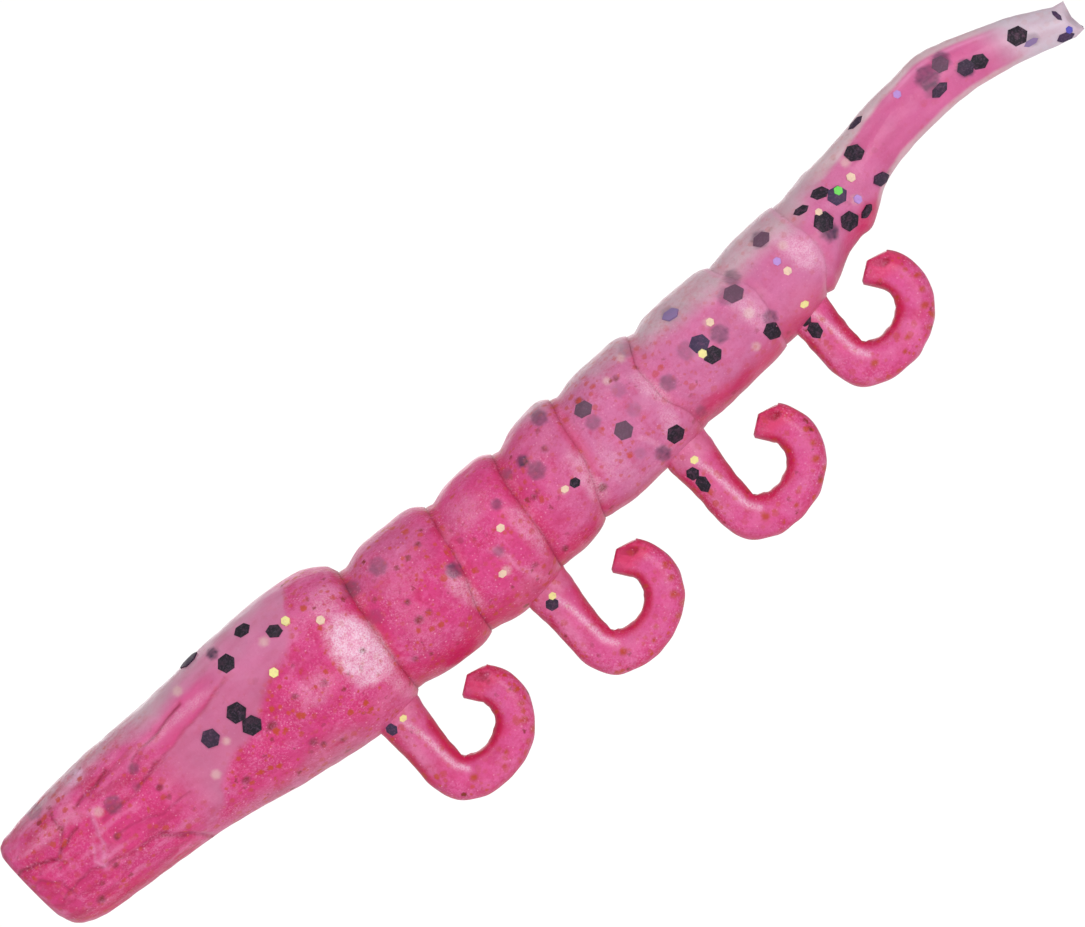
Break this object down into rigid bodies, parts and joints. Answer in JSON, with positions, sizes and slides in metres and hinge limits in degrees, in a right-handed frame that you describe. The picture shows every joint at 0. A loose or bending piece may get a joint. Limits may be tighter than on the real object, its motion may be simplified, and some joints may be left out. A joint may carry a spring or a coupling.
{
  "type": "soft plastic shrimp lure",
  "caption": "Soft plastic shrimp lure: tapered head, six ball-and-cup rings, four curled legs in a row, a four-piece blade tail and black hexagonal glitter.",
  "frame": {"origin": "centre of the flat nose face", "axes": "+X from the nose to the tail, +Z to the back, legs towards -Z, +Y to the lure's right"},
  "size_m": [0.0757, 0.0096, 0.0177],
  "materials": {
    "skin": "pearly translucent plastisol, wet gloss",
    "core": "hot pink plastisol",
    "leg_plastic": "hot pink plastisol, wet gloss",
    "glitter": "black polyester film, glossy"
  },
  "bodies": {
    "head": {"head_skin": "skin", "head_core": "core", "black_flake_01": "glitter", "black_flake_02": "glitter", "black_flake_03": "glitter", "black_flake_04": "glitter", "black_flake_05": "glitter", "black_flake_06": "glitter", "black_flake_07": "glitter"},
    "web_1": {"web_1": "core"},
    "ring_1": {"ring_1_skin": "skin", "ring_1_core": "core"},
    "web_2": {"web_2": "core"},
    "ring_2": {"ring_2_skin": "skin", "ring_2_core": "core"},
    "web_3": {"web_3": "core"},
    "ring_3": {"ring_3_skin": "skin", "ring_3_core": "core", "black_flake_08": "glitter"},
    "web_4": {"web_4": "core"},
    "ring_4": {"ring_4_skin": "skin", "ring_4_core": "core", "black_flake_09": "glitter", "black_flake_10": "glitter"},
    "web_5": {"web_5": "core"},
    "ring_5": {"ring_5_skin": "skin", "ring_5_core": "core", "black_flake_11": "glitter", "black_flake_12": "glitter"},
    "web_6": {"web_6": "core"},
    "ring_6": {"ring_6_skin": "skin", "ring_6_core": "core", "black_flake_13": "glitter"},
    "web_7": {"web_7": "core"},
    "tail_1": {"tail_1_skin": "skin", "tail_1_core": "core", "black_flake_14": "glitter", "black_flake_15": "glitter", "black_flake_16": "glitter"},
    "tail_2": {"tail_2_skin": "skin", "tail_2_core": "core"},
    "tail_3": {"tail_3_skin": "skin", "tail_3_core": "core", "black_flake_17": "glitter"},
    "tail_4": {"tail_4_skin": "skin", "tail_4_core": "core", "black_flake_18": "glitter"},
    "leg_1_shank": {"leg_1_shank": "leg_plastic"},
    "leg_1_curl": {"leg_1_curl": "leg_plastic"},
    "leg_2_shank": {"leg_2_shank": "leg_plastic"},
    "leg_2_curl": {"leg_2_curl": "leg_plastic"},
    "leg_3_shank": {"leg_3_shank": "leg_plastic"},
    "leg_3_curl": {"leg_3_curl": "leg_plastic"},
    "leg_4_shank": {"leg_4_shank": "leg_plastic"},
    "leg_4_curl": {"leg_4_curl": "leg_plastic"}
  },
  "joints": [
    {"name": "groove_1_up_down", "type": "hinge", "parent": "head", "child": "web_1", "pos_m": [0.0242, 0, -0.0005], "axis": [0, -1, 0], "range_deg": [-8, 8], "stiffness_Nm_per_rad": 0.0094},
    {"name": "groove_1_sideways", "type": "hinge", "parent": "web_1", "child": "ring_1", "pos_m": [0.0242, 0, -0.0005], "axis": [0.0523, 0, 0.9986], "range_deg": [-8, 8], "stiffness_Nm_per_rad": 0.0094},
    {"name": "groove_2_up_down", "type": "hinge", "parent": "ring_1", "child": "web_2", "pos_m": [0.03, 0, -0.0006], "axis": [0, -1, 0], "range_deg": [-8, 8], "stiffness_Nm_per_rad": 0.0105},
    {"name": "groove_2_sideways", "type": "hinge", "parent": "web_2", "child": "ring_2", "pos_m": [0.03, 0, -0.0006], "axis": [0.1392, 0, 0.9903], "range_deg": [-8, 8], "stiffness_Nm_per_rad": 0.0105},
    {"name": "groove_3_up_down", "type": "hinge", "parent": "ring_2", "child": "web_3", "pos_m": [0.0347, 0, -0.00035], "axis": [0, -1, 0], "range_deg": [-8, 8], "stiffness_Nm_per_rad": 0.0106},
    {"name": "groove_3_sideways", "type": "hinge", "parent": "web_3", "child": "ring_3", "pos_m": [0.0347, 0, -0.00035], "axis": [0.1045, 0, 0.9945], "range_deg": [-8, 8], "stiffness_Nm_per_rad": 0.0106},
    {"name": "groove_4_up_down", "type": "hinge", "parent": "ring_3", "child": "web_4", "pos_m": [0.0389, 0, 0.00015], "axis": [0, -1, 0], "range_deg": [-8, 8], "stiffness_Nm_per_rad": 0.00792},
    {"name": "groove_4_sideways", "type": "hinge", "parent": "web_4", "child": "ring_4", "pos_m": [0.0389, 0, 0.00015], "axis": [0.1392, 0, 0.9903], "range_deg": [-8, 8], "stiffness_Nm_per_rad": 0.00792},
    {"name": "groove_5_up_down", "type": "hinge", "parent": "ring_4", "child": "web_5", "pos_m": [0.0447, 0, 0.0005], "axis": [0, -1, 0], "range_deg": [-8, 8], "stiffness_Nm_per_rad": 0.00457},
    {"name": "groove_5_sideways", "type": "hinge", "parent": "web_5", "child": "ring_5", "pos_m": [0.0447, 0, 0.0005], "axis": [-0.0523, 0, 0.9986], "range_deg": [-8, 8], "stiffness_Nm_per_rad": 0.00457},
    {"name": "groove_6_up_down", "type": "hinge", "parent": "ring_5", "child": "web_6", "pos_m": [0.052, 0, 0.0011], "axis": [0, -1, 0], "range_deg": [-8, 8], "stiffness_Nm_per_rad": 0.00335},
    {"name": "groove_6_sideways", "type": "hinge", "parent": "web_6", "child": "ring_6", "pos_m": [0.052, 0, 0.0011], "axis": [0, 0, 1], "range_deg": [-8, 8], "stiffness_Nm_per_rad": 0.00335},
    {"name": "groove_7_up_down", "type": "hinge", "parent": "ring_6", "child": "web_7", "pos_m": [0.0562, 0, 0.00165], "axis": [0, -1, 0], "range_deg": [-8, 8], "stiffness_Nm_per_rad": 0.00299},
    {"name": "groove_7_sideways", "type": "hinge", "parent": "web_7", "child": "tail_1", "pos_m": [0.0562, 0, 0.00165], "axis": [0, 0, 1], "range_deg": [-8, 8], "stiffness_Nm_per_rad": 0.00299},
    {"name": "tail_bend_1_sideways", "type": "hinge", "parent": "tail_1", "child": "tail_2", "pos_m": [0.0618, 0, 0.00359], "axis": [0, 0, 1], "range_deg": [-14, 14], "stiffness_Nm_per_rad": 0.000376},
    {"name": "tail_bend_2_up_down", "type": "hinge", "parent": "tail_2", "child": "tail_3", "pos_m": [0.0666, 0, 0.0045], "axis": [0, -1, 0], "range_deg": [-12, 12], "stiffness_Nm_per_rad": 0.000354},
    {"name": "tail_bend_3_sideways", "type": "hinge", "parent": "tail_3", "child": "tail_4", "pos_m": [0.0713, 0, 0.00387], "axis": [0, 0, 1], "range_deg": [-14, 14], "stiffness_Nm_per_rad": 0.0000584},
    {"name": "leg_1_swing", "type": "hinge", "parent": "head", "child": "leg_1_shank", "pos_m": [0.02228, 0, -0.00628], "axis": [0, -1, 0], "range_deg": [-15, 3], "stiffness_Nm_per_rad": 0.000192},
    {"name": "leg_1_curl", "type": "hinge", "parent": "leg_1_shank", "child": "leg_1_curl", "pos_m": [0.02305, 0, -0.01006], "axis": [0, -1, 0], "range_deg": [-12, 4], "stiffness_Nm_per_rad": 0.000137},
    {"name": "leg_2_swing", "type": "hinge", "parent": "ring_2", "child": "leg_2_shank", "pos_m": [0.03311, 0, -0.00575], "axis": [0, -1, 0], "range_deg": [-15, 3], "stiffness_Nm_per_rad": 0.000192},
    {"name": "leg_2_curl", "type": "hinge", "parent": "leg_2_shank", "child": "leg_2_curl", "pos_m": [0.03388, 0, -0.00967], "axis": [0, -1, 0], "range_deg": [-12, 4], "stiffness_Nm_per_rad": 0.000137},
    {"name": "leg_3_swing", "type": "hinge", "parent": "ring_4", "child": "leg_3_shank", "pos_m": [0.04395, 0, -0.00465], "axis": [0, -1, 0], "range_deg": [-15, 3], "stiffness_Nm_per_rad": 0.000192},
    {"name": "leg_3_curl", "type": "hinge", "parent": "leg_3_shank", "child": "leg_3_curl", "pos_m": [0.04473, 0, -0.00862], "axis": [0, -1, 0], "range_deg": [-12, 4], "stiffness_Nm_per_rad": 0.000137},
    {"name": "leg_4_swing", "type": "hinge", "parent": "ring_6", "child": "leg_4_shank", "pos_m": [0.05395, 0, -0.00325], "axis": [0, -1, 0], "range_deg": [-15, 3], "stiffness_Nm_per_rad": 0.000192},
    {"name": "leg_4_curl", "type": "hinge", "parent": "leg_4_shank", "child": "leg_4_curl", "pos_m": [0.05473, 0, -0.00562], "axis": [0, -1, 0], "range_deg": [-12, 4], "stiffness_Nm_per_rad": 0.000137}
  ]
}
